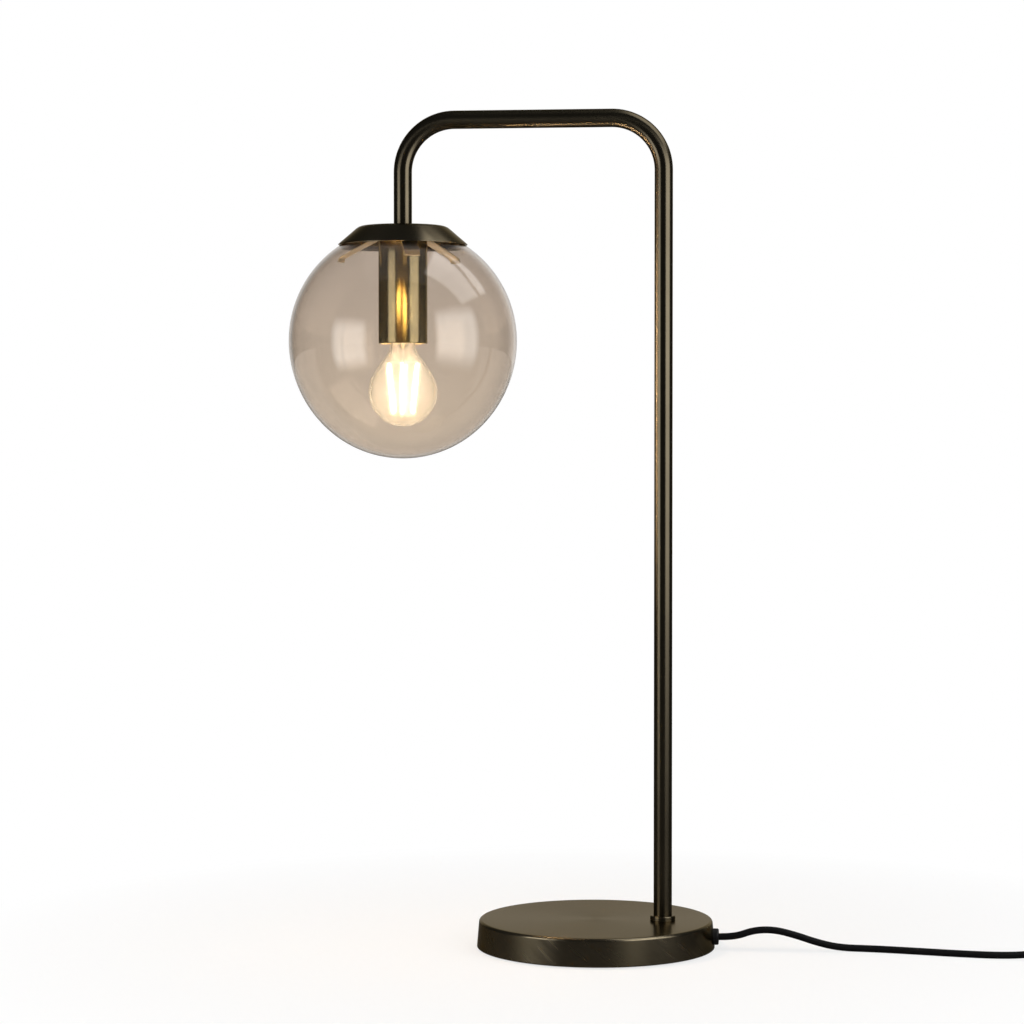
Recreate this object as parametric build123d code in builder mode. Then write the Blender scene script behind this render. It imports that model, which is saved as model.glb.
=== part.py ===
from build123d import *
import math
import os

# Glass table lamp: a round weighted base, a cranked tube, a spun cap and a clear globe round a small bulb.
# Millimetres, +Z up. The origin is the centre of the base's underside and the arm points towards -X.

os.makedirs("parts", exist_ok=True)

# Base
base_r = 78.0            # side of the shell at its foot
base_draft = 1.5         # side's top in from its foot
base_h = 18.5            # table to top face
base_edge_r = 2.0        # rounding of the top edge
shell_wall = 1.5
shell_lift = 0.6         # gap between the shell's edge and the table
pad_t = 1.0
pad_inset = 4.0          # pad edge in from the shell's foot
plate_t = 1.5
plate_gap = 0.4          # play between the plate and the shell
weight_gap = 0.5         # play between the weight and the shell
web_t = 3.0              # weight left above the foot nut
pocket_r = 13.0          # pocket round the foot nut
groove_w = 9.0           # groove for the flex in the weight
screw_count = 3
screw_ring_r = 55.0
screw_turn = 60.0        # angle of the first plate screw, degrees
plate_screw_r = 1.5
plate_screw_head_r = 2.8
plate_screw_len = 9.0

# Cord bush on the side of the base
bush_z = 8.0
bush_flange_r = 5.35
bush_flange_t = 3.3
bush_neck_r = 3.9
bush_nut_across = 11.0   # across flats
bush_nut_t = 3.0
bush_nut_room = 1.0      # room round the bush's nut in the weight

# Tube
tube_r = 6.0
tube_bore_r = 4.5
bend_r = 34.0            # middle of the tube in both bends
stem_inset = 34.0        # stem axis in from the base's side
arm_len = 171.5          # stem axis to globe axis
arm_z = 542.5
collar_r = 8.25
collar_h = 3.0
collar_edge_r = 0.7

# Threaded nipples, nuts and washers at both ends of the tube
nipple_r = 5.0
nipple_bore_r = 3.5
nipple_end = 0.8         # nipple showing past its nut
thread_len = 12.0        # nipple inside the tube
nut_across = 14.0        # across flats
foot_nut_t = 3.5
head_nut_t = 3.2
washer_t = 1.0
washer_r = 9.0

# Shade cap
cap_drop = 69.3          # arm axis to the cap's top
cap_knee_r = 28.6        # where the flat top would meet the cone
cap_rim_r = 43.0
cap_h = 12.4
cap_wall = 1.2
cap_shoulder_r = 8.0

# Globe
globe_r = 75.0
globe_drop = 77.2        # widest line to the bottom
glass_t = 3.0
globe_mouth_r = 32.0     # inside radius of the opening

# Clips that hold the globe from inside
clip_count = 3
clip_turn = 46.0         # angle of the first clip, degrees
clip_w = 10.0
clip_t = 0.6
clip_root_r = 7.5
clip_knee_r = 17.5
clip_fall = 25.0         # slope of the arms, degrees
clip_lip_turn = 50.0     # turn of the tip past the arm, degrees
clip_lip_len = 3.2
clip_bend_r = 1.8
clip_plate_r = 16.5
clip_plate_t = 1.2
rivet_ring_r = 12.0
rivet_r = 1.2
rivet_head_r = 2.2
rivet_head_t = 0.8

# Lampholder
sleeve_r = 16.1
sleeve_wall = 0.8
sleeve_len = 70.0
sleeve_edge_r = 2.0
sleeve_lip_r = 13.5      # opening at the lower end
sleeve_lip_t = 1.0
holder_r = 14.2
holder_wall = 2.0
holder_cap_h = 16.0
holder_neck_r = 8.0
holder_neck_h = 3.0
holder_thread_len = 10.0
holder_mouth_r = 9.3     # clears the skirt of the bulb's cap
holder_mouth_h = 10.2    # lower end of the holder to its screw shell
holder_shell_t = 0.5
contact_r = 3.5
contact_t = 0.6
contact_post_r = 2.0
contact_post_h = 3.0
holder_floor_t = 14.0    # solid part between the contact and the terminals
terminal_w = 5.0
terminal_h = 8.0
terminal_spread = 6.5    # holder axis to terminal
terminal_screw_r = 1.5
terminal_screw_h = 1.6

# Bulb
bulb_r = 22.5
bulb_glass_t = 0.9
bulb_neck_len = 32.1     # centre of the ball to the cap's skirt
bulb_neck_r = 7.9
bulb_neck_in = 3.0       # neck inside the skirt
bulb_shoulder = 35.0     # where the ball turns into the neck, degrees above its widest line
bulb_shoulder_r = 14.0
skirt_r = 8.6
skirt_h = 6.5
skirt_slope_h = 1.6
bulb_cap_lift = 0.3      # skirt above the lower end of the sleeve
cap_thread_r = 6.9
cap_thread_h = 15.5
cap_sheet_t = 0.4
insulator_h = 2.4
tip_r = 2.4
tip_h = 1.0
filament_count = 4
filament_turn = 4.5      # angle of the first filament, degrees
filament_r = 0.9
filament_top = 18.5      # above the centre of the ball
filament_foot = 13.5     # below the centre of the ball
filament_top_ring = 9.3
filament_foot_ring = 6.4
stem_rod_r = 1.3
stem_flare_h = 7.0
wire_r = 0.35

# Cord
cord_r = 2.3
flex_bend_r = 6.0        # where the flex turns up into the nipple
bend_share = 0.45        # share of the shorter run that each bend of the route takes up
coil_inner_r = 18.7
coil_turns = 3.75        # turns in each of the two layers
coil_gap = 0.45          # between turns
tie_t = 0.8
tie_w = 6.0
tie_play = 0.4

# In-line switch
switch_left = 308.0
switch_y = -18.0
switch_len = 62.0
switch_w = 26.0
switch_h = 17.0
switch_split = 8.0       # height of the joint and of the cord in it
switch_wall = 2.0
switch_corner_r = 11.0
switch_edge_r = 2.5
switch_grip = 3.0        # cord inside the switch
boss_x = 20.5
boss_r = 3.4
switch_screw_r = 1.3
switch_screw_head_r = 2.4
switch_screw_head_h = 1.8
switch_screw_len = 10.5
screw_recess = 0.6
rocker_r = 8.5
rocker_w = 9.0
rocker_lift = 4.8        # joint of the halves to the rocker's axis
rocker_crown = 4.8       # axis to the valley of the rocker's top
rocker_floor = 2.5       # axis to the rocker's underside
rocker_tilt = 8.0        # degrees each way
rocker_gap = 0.4
trunnion_r = 1.4
cheek_t = 2.5
cheek_len = 8.0
cheek_drop = 2.3         # cheek below the rocker's axis
strip_len = 10.0
strip_w = 3.0
strip_t = 0.6
strip_x = 10.0

# Coil and plug places
coil_lead = 35.4         # switch to the start of the coil
tail_len = 35.0          # coil to the plug's strain relief
tail_shift = 4.0
plug_w = 35.0
plug_t = 14.0
plug_len = 37.0
plug_shoulder = 14.0     # full width behind the pin face
plug_neck_w = 12.0
plug_edge_r = 3.5
relief_len = 25.0
relief_big_r = 5.0
relief_small_r = 3.4
relief_groove_count = 5
relief_groove_w = 1.6
relief_groove_d = 0.7
plug_grip = 6.0          # cord inside the strain relief
pin_r = 2.0
pin_len = 19.0
pin_root = 8.0           # pin inside the plug
pin_root_r = 1.6
pin_spacing = 18.6
pin_tip_r = 1.2

# Clearances
fit = 0.05               # threads and pins in their holes
slip = 0.15              # cords and loose sleeves
clear = 0.3              # between pieces that move apart

# Heights and places that follow from the sizes above
stem_x = base_r - stem_inset
head_x = stem_x - arm_len
base_top_r = base_r - base_draft
plate_top = pad_t + plate_t
weight_top = base_h - shell_wall
web_under = weight_top - web_t
foot_nut_top = web_under - washer_t
nipple_foot = foot_nut_top - foot_nut_t - nipple_end
cap_top = arm_z - cap_drop
cap_under = cap_top - cap_wall
rim_z = cap_top - cap_h
head_nut_top = cap_under - washer_t
clip_plate_top = head_nut_top - head_nut_t
clip_top = clip_plate_top - clip_plate_t
sleeve_top = clip_top - clip_t
sleeve_under = sleeve_top - sleeve_wall
sleeve_foot = sleeve_top - sleeve_len
holder_body_top = sleeve_under - holder_cap_h
holder_foot = sleeve_foot + sleeve_lip_t
bulb_skirt_z = sleeve_foot + bulb_cap_lift
bulb_z = bulb_skirt_z - bulb_neck_len
cap_shell_top = bulb_skirt_z + skirt_h + cap_thread_h
tip_z = cap_shell_top + insulator_h + tip_h
contact_z = tip_z + clear
holder_ceiling = contact_z + contact_t + contact_post_h
terminal_z = holder_ceiling + holder_floor_t
shell_foot = holder_foot + holder_mouth_h

# The cap's cone, and the globe hung so that its glass clears the inner edge of the rim
cap_slope = math.atan2(cap_h, cap_rim_r - cap_knee_r)
cone_wall = cap_wall / math.sin(cap_slope)
rim_inner_r = cap_rim_r - cone_wall
cap_knee_inner_r = cap_knee_r + cap_wall / math.tan(cap_slope) - cone_wall
globe_z = rim_z - math.sqrt((globe_r + clear) ** 2 - rim_inner_r**2)
mouth_h = math.sqrt((globe_r - glass_t) ** 2 - globe_mouth_r**2)
mouth_outer_r = math.sqrt(globe_r**2 - mouth_h**2)
globe_stretch = (globe_drop - globe_r) / (2 - math.sqrt(2))  # shifts the two arcs of the globe's lower half

seat = (Align.CENTER, Align.CENTER, Align.MIN)
head_axis = Axis((head_x, 0, 0), (0, 0, 1))


def radial_plane(x, z=0.0, turn=0.0):
    """A plane through the vertical axis at x, whose own x is the radius and whose own y is the height."""
    angle = math.radians(turn)
    return Plane(
        (x, 0, z), x_dir=(math.cos(angle), math.sin(angle), 0), z_dir=(math.sin(angle), -math.cos(angle), 0)
    )


def hexagon_r(across):
    """Corner radius of a hexagon of this size across its flats."""
    return across / math.sqrt(3)


def base_side_r(z):
    """Radius of the drafted side of the base at a height."""
    return base_r + (base_top_r - base_r) * (z - shell_lift) / (base_h - shell_lift)


# Base

with BuildPart() as base_form:
    with BuildSketch(Plane.XZ) as outline:
        with BuildLine():
            Polyline((0, shell_lift), (base_r, shell_lift), (base_top_r, base_h), (0, base_h), close=True)
        make_face()
        fillet(outline.vertices().group_by(Axis.Y)[-1].sort_by(Axis.X)[-1], base_edge_r)
    revolve(axis=Axis.Z)

bush_plane = Plane((0, 0, bush_z), x_dir=(0, 1, 0), z_dir=(1, 0, 0))
bush_wall_x = base_side_r(bush_z)
bush_out_x = bush_wall_x + bush_flange_t
bush_nut_r = hexagon_r(bush_nut_across)
bush_nut_x = math.sqrt((base_side_r(bush_z + bush_nut_r) - shell_wall) ** 2 - bush_nut_r**2) - fit
bush_in_x = bush_nut_x - bush_nut_t - nipple_end

with BuildPart() as base_shell:
    add(base_form.part)
    with BuildSketch(Plane.XZ) as hollow:
        with BuildLine():
            Polyline(
                (0, shell_lift),
                (base_r - shell_wall, shell_lift),
                (base_top_r - shell_wall, weight_top),
                (0, weight_top),
                close=True,
            )
        make_face()
        fillet(
            hollow.vertices().group_by(Axis.Y)[-1].sort_by(Axis.X)[-1],
            max(base_edge_r - shell_wall, fit),
        )
    revolve(axis=Axis.Z, mode=Mode.SUBTRACT)
    with Locations((stem_x, 0, base_h)):
        Hole(nipple_r + slip, depth=2 * shell_wall)
    with BuildSketch(bush_plane.offset(bush_in_x)):
        Circle(bush_neck_r + slip)
    extrude(amount=bush_out_x - bush_in_x, mode=Mode.SUBTRACT)
base_shell.part.label = "base_shell"
export_step(base_shell.part, "parts/base_shell.step")

weight_h = weight_top - plate_top
weight_r = base_top_r - shell_wall - weight_gap
groove_top = bush_z + cord_r + bush_nut_room

with BuildPart() as base_weight:
    with BuildSketch(Plane.XY.offset(plate_top)):
        Circle(weight_r)
    extrude(amount=weight_h)
    chamfer(base_weight.faces().sort_by(Axis.Z)[-1].edges(), base_edge_r)
    with Locations((stem_x, 0, weight_top)):
        Hole(nipple_r + slip, depth=weight_h)
    with BuildSketch(Plane.XY.offset(plate_top)):
        with Locations((stem_x, 0)):
            Circle(pocket_r)
    extrude(amount=weight_h - web_t, mode=Mode.SUBTRACT)
    with BuildSketch(Plane.XY.offset(plate_top)):
        with Locations((stem_x, 0)):
            Rectangle(base_r, groove_w, align=(Align.MIN, Align.CENTER))
    extrude(amount=groove_top - plate_top, mode=Mode.SUBTRACT)
    with BuildSketch(Plane.XY.offset(plate_top)):
        with Locations((bush_in_x - bush_nut_room, 0)):
            Rectangle(base_r, 2 * (bush_nut_r + bush_nut_room), align=(Align.MIN, Align.CENTER))
    extrude(amount=bush_z + bush_nut_across / 2 + bush_nut_room - plate_top, mode=Mode.SUBTRACT)
    with Locations(Plane((0, 0, plate_top), x_dir=(1, 0, 0), z_dir=(0, 0, -1))):
        with PolarLocations(screw_ring_r, screw_count, start_angle=screw_turn):
            Hole(plate_screw_r + fit, depth=plate_screw_len)
base_weight.part.label = "base_weight"
export_step(base_weight.part, "parts/base_weight.step")

with BuildPart() as base_plate:
    with BuildSketch(Plane.XY.offset(pad_t)):
        Circle(base_r - shell_wall - plate_gap)
    extrude(amount=plate_t)
    with Locations(Plane((0, 0, pad_t), x_dir=(1, 0, 0), z_dir=(0, 0, -1))):
        with PolarLocations(screw_ring_r, screw_count, start_angle=screw_turn):
            CounterSinkHole(plate_screw_r + fit, plate_screw_head_r + fit, counter_sink_angle=90)
base_plate.part.label = "base_plate"
export_step(base_plate.part, "parts/base_plate.step")

with BuildPart() as plate_screws:
    with Locations((0, 0, pad_t)):
        with PolarLocations(screw_ring_r, screw_count, start_angle=screw_turn):
            Cone(plate_screw_head_r, plate_screw_r, plate_screw_head_r - plate_screw_r, align=seat)
            Cylinder(plate_screw_r, plate_screw_len, align=seat)
plate_screws.part.label = "plate_screws"
export_step(plate_screws.part, "parts/plate_screws.step")

with BuildPart() as base_pad:
    with BuildSketch(Plane.XY):
        Circle(base_r - pad_inset)
    extrude(amount=pad_t)
base_pad.part.label = "base_pad"
export_step(base_pad.part, "parts/base_pad.step")

with BuildPart() as cord_bush:
    with BuildSketch(bush_plane.offset(bush_wall_x - bush_flange_t)):
        Circle(bush_flange_r)
    extrude(amount=2 * bush_flange_t)
    fillet(cord_bush.faces().sort_by(Axis.X)[-1].edges(), bush_flange_t / 3)
    add(base_form.part, mode=Mode.SUBTRACT)
    with BuildSketch(bush_plane.offset(bush_in_x)):
        Circle(bush_neck_r)
    extrude(amount=bush_out_x - bush_in_x)
    with BuildSketch(bush_plane.offset(bush_in_x)):
        Circle(cord_r + slip)
    extrude(amount=bush_out_x - bush_in_x, mode=Mode.SUBTRACT)
cord_bush.part.label = "cord_bush"
export_step(cord_bush.part, "parts/cord_bush.step")

with BuildPart() as bush_nut:
    with BuildSketch(bush_plane.offset(bush_nut_x - bush_nut_t)):
        RegularPolygon(bush_nut_r, 6)
        Circle(bush_neck_r + fit, mode=Mode.SUBTRACT)
    extrude(amount=bush_nut_t)
bush_nut.part.label = "bush_nut"
export_step(bush_nut.part, "parts/bush_nut.step")

# Stem

with BuildPart() as foot_nut:
    with BuildSketch(Plane((stem_x, 0, foot_nut_top - foot_nut_t))):
        RegularPolygon(hexagon_r(nut_across), 6)
        Circle(nipple_r + fit, mode=Mode.SUBTRACT)
    extrude(amount=foot_nut_t)
foot_nut.part.label = "foot_nut"
export_step(foot_nut.part, "parts/foot_nut.step")

with BuildPart() as foot_washer:
    with BuildSketch(Plane((stem_x, 0, foot_nut_top))):
        Circle(washer_r)
        Circle(nipple_r + slip, mode=Mode.SUBTRACT)
    extrude(amount=washer_t)
foot_washer.part.label = "foot_washer"
export_step(foot_washer.part, "parts/foot_washer.step")

with BuildPart() as foot_nipple:
    with BuildSketch(Plane((stem_x, 0, nipple_foot))):
        Circle(nipple_r)
        Circle(nipple_bore_r, mode=Mode.SUBTRACT)
    extrude(amount=base_h + thread_len - nipple_foot)
foot_nipple.part.label = "foot_nipple"
export_step(foot_nipple.part, "parts/foot_nipple.step")

with BuildPart() as stem_collar:
    with BuildSketch(Plane((stem_x, 0, base_h))):
        Circle(collar_r)
    extrude(amount=collar_h)
    fillet(stem_collar.faces().sort_by(Axis.Z)[-1].edges(), collar_edge_r)
    with Locations((stem_x, 0, base_h + collar_h)):
        Hole(tube_r + fit)
stem_collar.part.label = "stem_collar"
export_step(stem_collar.part, "parts/stem_collar.step")

with BuildPart() as stem_tube:
    with BuildLine():
        FilletPolyline(
            (stem_x, 0, base_h), (stem_x, 0, arm_z), (head_x, 0, arm_z), (head_x, 0, cap_top), radius=bend_r
        )
    with BuildSketch(Plane((stem_x, 0, base_h))):
        Circle(tube_r)
        Circle(tube_bore_r, mode=Mode.SUBTRACT)
    sweep()
    with Locations((stem_x, 0, base_h), (head_x, 0, cap_top)):
        Cylinder(nipple_r + fit, thread_len, align=seat, mode=Mode.SUBTRACT)
stem_tube.part.label = "stem_tube"
export_step(stem_tube.part, "parts/stem_tube.step")

flex_low_z = plate_top + cord_r + slip
flex_end_z = holder_body_top
flex_dip_x = bush_in_x - 2 * cord_r
flex_turn_x = stem_x + flex_bend_r + cord_r

with BuildPart() as inner_flex:
    with BuildLine():
        FilletPolyline(
            (bush_out_x, 0, bush_z),
            (flex_dip_x, 0, bush_z),
            (flex_turn_x, 0, flex_low_z),
            (stem_x, 0, flex_low_z),
            (stem_x, 0, arm_z),
            (head_x, 0, arm_z),
            (head_x, 0, flex_end_z),
            radius=[2 * flex_bend_r, flex_bend_r, flex_bend_r, bend_r, bend_r],
        )
    with BuildSketch(bush_plane.offset(bush_out_x)):
        Circle(cord_r)
    sweep()
inner_flex.part.label = "inner_flex"
export_step(inner_flex.part, "parts/inner_flex.step")

# Head

with BuildPart() as head_nipple:
    with BuildSketch(Plane((head_x, 0, sleeve_under - holder_thread_len))):
        Circle(nipple_r)
        Circle(nipple_bore_r, mode=Mode.SUBTRACT)
    extrude(amount=cap_top + thread_len - sleeve_under + holder_thread_len)
head_nipple.part.label = "head_nipple"
export_step(head_nipple.part, "parts/head_nipple.step")

with BuildPart() as shade_cap:
    with BuildSketch(radial_plane(head_x)) as outline:
        with BuildLine():
            Polyline(
                (nipple_r + slip, cap_top),
                (cap_knee_r, cap_top),
                (cap_rim_r, rim_z),
                (rim_inner_r, rim_z),
                (cap_knee_inner_r, cap_under),
                (nipple_r + slip, cap_under),
                close=True,
            )
        make_face()
        fillet(outline.vertices().group_by(Axis.Y)[-1].sort_by(Axis.X)[-1], cap_shoulder_r)
        fillet(
            [v for v in outline.vertices() if abs(v.Y - cap_under) < fit and abs(v.X - cap_knee_inner_r) < fit],
            cap_shoulder_r - cap_wall,
        )
    revolve(axis=head_axis)
shade_cap.part.label = "shade_cap"
export_step(shade_cap.part, "parts/shade_cap.step")

with BuildPart() as cap_washer:
    with BuildSketch(Plane((head_x, 0, head_nut_top))):
        Circle(washer_r)
        Circle(nipple_r + slip, mode=Mode.SUBTRACT)
    extrude(amount=washer_t)
cap_washer.part.label = "cap_washer"
export_step(cap_washer.part, "parts/cap_washer.step")

with BuildPart() as cap_nut:
    with BuildSketch(Plane((head_x, 0, clip_plate_top))):
        RegularPolygon(hexagon_r(nut_across), 6)
        Circle(nipple_r + fit, mode=Mode.SUBTRACT)
    extrude(amount=head_nut_t)
cap_nut.part.label = "cap_nut"
export_step(cap_nut.part, "parts/cap_nut.step")

with BuildPart() as clip_plate:
    with BuildSketch(Plane((head_x, 0, clip_top))):
        Circle(clip_plate_r)
        Circle(nipple_r + slip, mode=Mode.SUBTRACT)
        with PolarLocations(rivet_ring_r, clip_count, start_angle=clip_turn):
            Circle(rivet_r + fit, mode=Mode.SUBTRACT)
    extrude(amount=clip_plate_t)
clip_plate.part.label = "clip_plate"
export_step(clip_plate.part, "parts/clip_plate.step")

# Each arm falls from its knee until its tip lies just inside the glass
clip_z = clip_top - clip_t / 2
fall = math.radians(clip_fall)
lip = math.radians(clip_fall + clip_lip_turn)
knee_h = clip_z - globe_z
reach_r = globe_r - glass_t - clear - clip_t / 2
along = clip_knee_r * math.cos(fall) - knee_h * math.sin(fall)
arm_run = -along + math.sqrt(along**2 - clip_knee_r**2 - knee_h**2 + reach_r**2)
heel = (clip_knee_r + arm_run * math.cos(fall), clip_z - arm_run * math.sin(fall))
lip_end = (heel[0] + clip_lip_len * math.cos(lip), heel[1] - clip_lip_len * math.sin(lip))

with BuildPart() as globe_clips:
    for i in range(clip_count):
        with BuildSketch(radial_plane(head_x, turn=clip_turn + 360 * i / clip_count)):
            with BuildLine():
                FilletPolyline(
                    (clip_root_r, clip_z), (clip_knee_r, clip_z), heel, lip_end, radius=clip_bend_r
                )
            trace(line_width=clip_t)
        extrude(amount=clip_w / 2, both=True)
    with Locations((head_x, 0, clip_top)):
        with PolarLocations(rivet_ring_r, clip_count, start_angle=clip_turn):
            Hole(rivet_r + fit, depth=clip_t)
globe_clips.part.label = "globe_clips"
export_step(globe_clips.part, "parts/globe_clips.step")

with BuildPart() as clip_rivets:
    with Locations((head_x, 0, sleeve_top)):
        with PolarLocations(rivet_ring_r, clip_count, start_angle=clip_turn):
            Cylinder(rivet_r, clip_t + clip_plate_t, align=seat)
    with Locations((head_x, 0, clip_plate_top)):
        with PolarLocations(rivet_ring_r, clip_count, start_angle=clip_turn):
            Cone(rivet_head_r, rivet_r, rivet_head_t, align=seat)
clip_rivets.part.label = "clip_rivets"
export_step(clip_rivets.part, "parts/clip_rivets.step")

with BuildPart() as holder_sleeve:
    with BuildSketch(radial_plane(head_x)) as outline:
        with BuildLine():
            Polyline(
                (nipple_r + slip, sleeve_top),
                (sleeve_r, sleeve_top),
                (sleeve_r, sleeve_foot),
                (sleeve_lip_r, sleeve_foot),
                (sleeve_lip_r, holder_foot),
                (sleeve_r - sleeve_wall, holder_foot),
                (sleeve_r - sleeve_wall, sleeve_under),
                (nipple_r + slip, sleeve_under),
                close=True,
            )
        make_face()
        fillet(outline.vertices().group_by(Axis.Y)[-1].sort_by(Axis.X)[-1], sleeve_edge_r)
        fillet(outline.vertices().group_by(Axis.Y)[0].sort_by(Axis.X)[-1], sleeve_lip_t / 2)
    revolve(axis=head_axis)
holder_sleeve.part.label = "holder_sleeve"
export_step(holder_sleeve.part, "parts/holder_sleeve.step")

with BuildPart() as holder_cap:
    with BuildSketch(radial_plane(head_x)):
        with BuildLine():
            Polyline(
                (nipple_r + fit, sleeve_under),
                (holder_neck_r, sleeve_under),
                (holder_neck_r, sleeve_under - holder_neck_h),
                (holder_r, sleeve_under - holder_thread_len),
                (holder_r, holder_body_top),
                (holder_r - holder_wall, holder_body_top),
                (holder_r - holder_wall, sleeve_under - holder_thread_len),
                (nipple_r + fit, sleeve_under - holder_thread_len),
                close=True,
            )
        make_face()
    revolve(axis=head_axis)
holder_cap.part.label = "holder_cap"
export_step(holder_cap.part, "parts/holder_cap.step")

shell_in_r = cap_thread_r + clear
shell_out_r = shell_in_r + holder_shell_t

with BuildPart() as holder_body:
    with BuildSketch(Plane((head_x, 0, holder_foot))):
        Circle(holder_r)
    extrude(amount=holder_body_top - holder_foot)
    with Locations((head_x, 0, holder_foot)):
        Cylinder(holder_mouth_r, holder_mouth_h, align=seat, mode=Mode.SUBTRACT)
        Cylinder(shell_out_r + fit, holder_ceiling - holder_foot, align=seat, mode=Mode.SUBTRACT)
    with Locations((head_x, 0, terminal_z)):
        Cylinder(holder_r - holder_wall, holder_body_top - terminal_z, align=seat, mode=Mode.SUBTRACT)
holder_body.part.label = "holder_body"
export_step(holder_body.part, "parts/holder_body.step")

with BuildPart() as holder_shell:
    with BuildSketch(Plane((head_x, 0, shell_foot))):
        Circle(shell_out_r)
        Circle(shell_in_r, mode=Mode.SUBTRACT)
    extrude(amount=holder_ceiling - shell_foot)
holder_shell.part.label = "holder_shell"
export_step(holder_shell.part, "parts/holder_shell.step")

with BuildPart() as holder_contact:
    with Locations((head_x, 0, contact_z)):
        Cylinder(contact_r, contact_t, align=seat)
    with Locations((head_x, 0, contact_z + contact_t)):
        Cylinder(contact_post_r, contact_post_h, align=seat)
holder_contact.part.label = "holder_contact"
export_step(holder_contact.part, "parts/holder_contact.step")

with BuildPart() as holder_terminals:
    with Locations((head_x, terminal_spread, terminal_z), (head_x, -terminal_spread, terminal_z)):
        Box(terminal_w, terminal_w, terminal_h, align=seat)
        Cylinder(terminal_screw_r, terminal_h + terminal_screw_h, align=seat)
holder_terminals.part.label = "holder_terminals"
export_step(holder_terminals.part, "parts/holder_terminals.step")

with BuildPart() as globe:
    with BuildSketch(radial_plane(head_x, globe_z)):
        with BuildLine():
            mouth_out = math.degrees(math.asin(mouth_h / globe_r))
            mouth_in = math.degrees(math.asin(mouth_h / (globe_r - glass_t)))
            for wall, mouth in ((0, mouth_out), (glass_t, mouth_in)):
                CenterArc((0, 0), globe_r - wall, 0, mouth)
                CenterArc((-globe_stretch, 0), globe_r + globe_stretch - wall, -45, 45)
                CenterArc((0, -globe_stretch), globe_drop - globe_stretch - wall, -90, 45)
            Line((mouth_outer_r, mouth_h), (globe_mouth_r, mouth_h))
            Line((0, -globe_drop), (0, glass_t - globe_drop))
        make_face()
    revolve(axis=head_axis)
globe.part.label = "globe"
export_step(globe.part, "parts/globe.step")

# Bulb


def envelope_line(inset):
    """Half of the bulb's outline from its bottom to its neck, drawn in by a wall."""
    ball = bulb_r - inset
    neck = bulb_neck_r - inset
    turn = math.radians(bulb_shoulder)
    shoulder = Vector(ball * math.cos(turn), ball * math.sin(turn))
    corner_y = shoulder.Y + (shoulder.X - neck) / math.tan(turn)
    top = bulb_neck_len + bulb_neck_in
    CenterArc((0, 0), ball, -90, 90 + bulb_shoulder)
    FilletPolyline(shoulder, (neck, corner_y), (neck, top), radius=bulb_shoulder_r)
    return (0, -ball), (neck, top)


with BuildPart() as bulb_glass:
    with BuildSketch(radial_plane(head_x, bulb_z)):
        with BuildLine():
            outer_ends = envelope_line(0)
            inner_ends = envelope_line(bulb_glass_t)
            Line(outer_ends[0], inner_ends[0])
            Line(outer_ends[1], inner_ends[1])
        make_face()
    revolve(axis=head_axis)
bulb_glass.part.label = "bulb_glass"
export_step(bulb_glass.part, "parts/bulb_glass.step")

with BuildPart() as bulb_cap:
    with BuildSketch(radial_plane(head_x, bulb_skirt_z)):
        with BuildLine():
            Polyline(
                (skirt_r, 0),
                (skirt_r, skirt_h - skirt_slope_h),
                (cap_thread_r, skirt_h),
                (cap_thread_r, skirt_h + cap_thread_h),
                (cap_thread_r - cap_sheet_t, skirt_h + cap_thread_h),
                (cap_thread_r - cap_sheet_t, skirt_h),
                (skirt_r - cap_sheet_t, skirt_h - skirt_slope_h),
                (skirt_r - cap_sheet_t, 0),
                close=True,
            )
        make_face()
    revolve(axis=head_axis)
bulb_cap.part.label = "bulb_cap"
export_step(bulb_cap.part, "parts/bulb_cap.step")

with BuildPart() as bulb_insulator:
    with Locations((head_x, 0, cap_shell_top + fit)):
        Cone(cap_thread_r - cap_sheet_t, tip_r, insulator_h - fit, align=seat)
bulb_insulator.part.label = "bulb_insulator"
export_step(bulb_insulator.part, "parts/bulb_insulator.step")

with BuildPart() as bulb_tip:
    with Locations((head_x, 0, cap_shell_top + insulator_h)):
        Cylinder(tip_r, tip_h, align=seat)
    fillet(bulb_tip.faces().sort_by(Axis.Z)[-1].edges(), tip_h / 2)
bulb_tip.part.label = "bulb_tip"
export_step(bulb_tip.part, "parts/bulb_tip.step")

stem_top = bulb_neck_len + bulb_neck_in
rod_foot = -filament_foot - 4 * wire_r

with BuildPart() as bulb_stem:
    with BuildSketch(radial_plane(head_x, bulb_z)):
        with BuildLine():
            Polyline(
                (0, rod_foot),
                (stem_rod_r, rod_foot),
                (stem_rod_r, stem_top - stem_flare_h),
                (bulb_neck_r - bulb_glass_t - fit, stem_top),
                (0, stem_top),
                close=True,
            )
        make_face()
    revolve(axis=head_axis)
bulb_stem.part.label = "bulb_stem"
export_step(bulb_stem.part, "parts/bulb_stem.step")

with BuildPart() as led_filaments:
    for i in range(filament_count):
        angle = math.radians(filament_turn + 360 * i / filament_count)
        out = Vector(math.cos(angle), math.sin(angle))
        centre = Vector(head_x, 0, bulb_z)
        foot = centre + out * filament_foot_ring - Vector(0, 0, filament_foot)
        top = centre + out * filament_top_ring + Vector(0, 0, filament_top)
        with BuildSketch(Plane(foot, z_dir=top - foot)):
            Circle(filament_r)
        extrude(amount=(top - foot).length)
led_filaments.part.label = "led_filaments"
export_step(led_filaments.part, "parts/led_filaments.step")

wire_step = filament_r + wire_r

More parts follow.
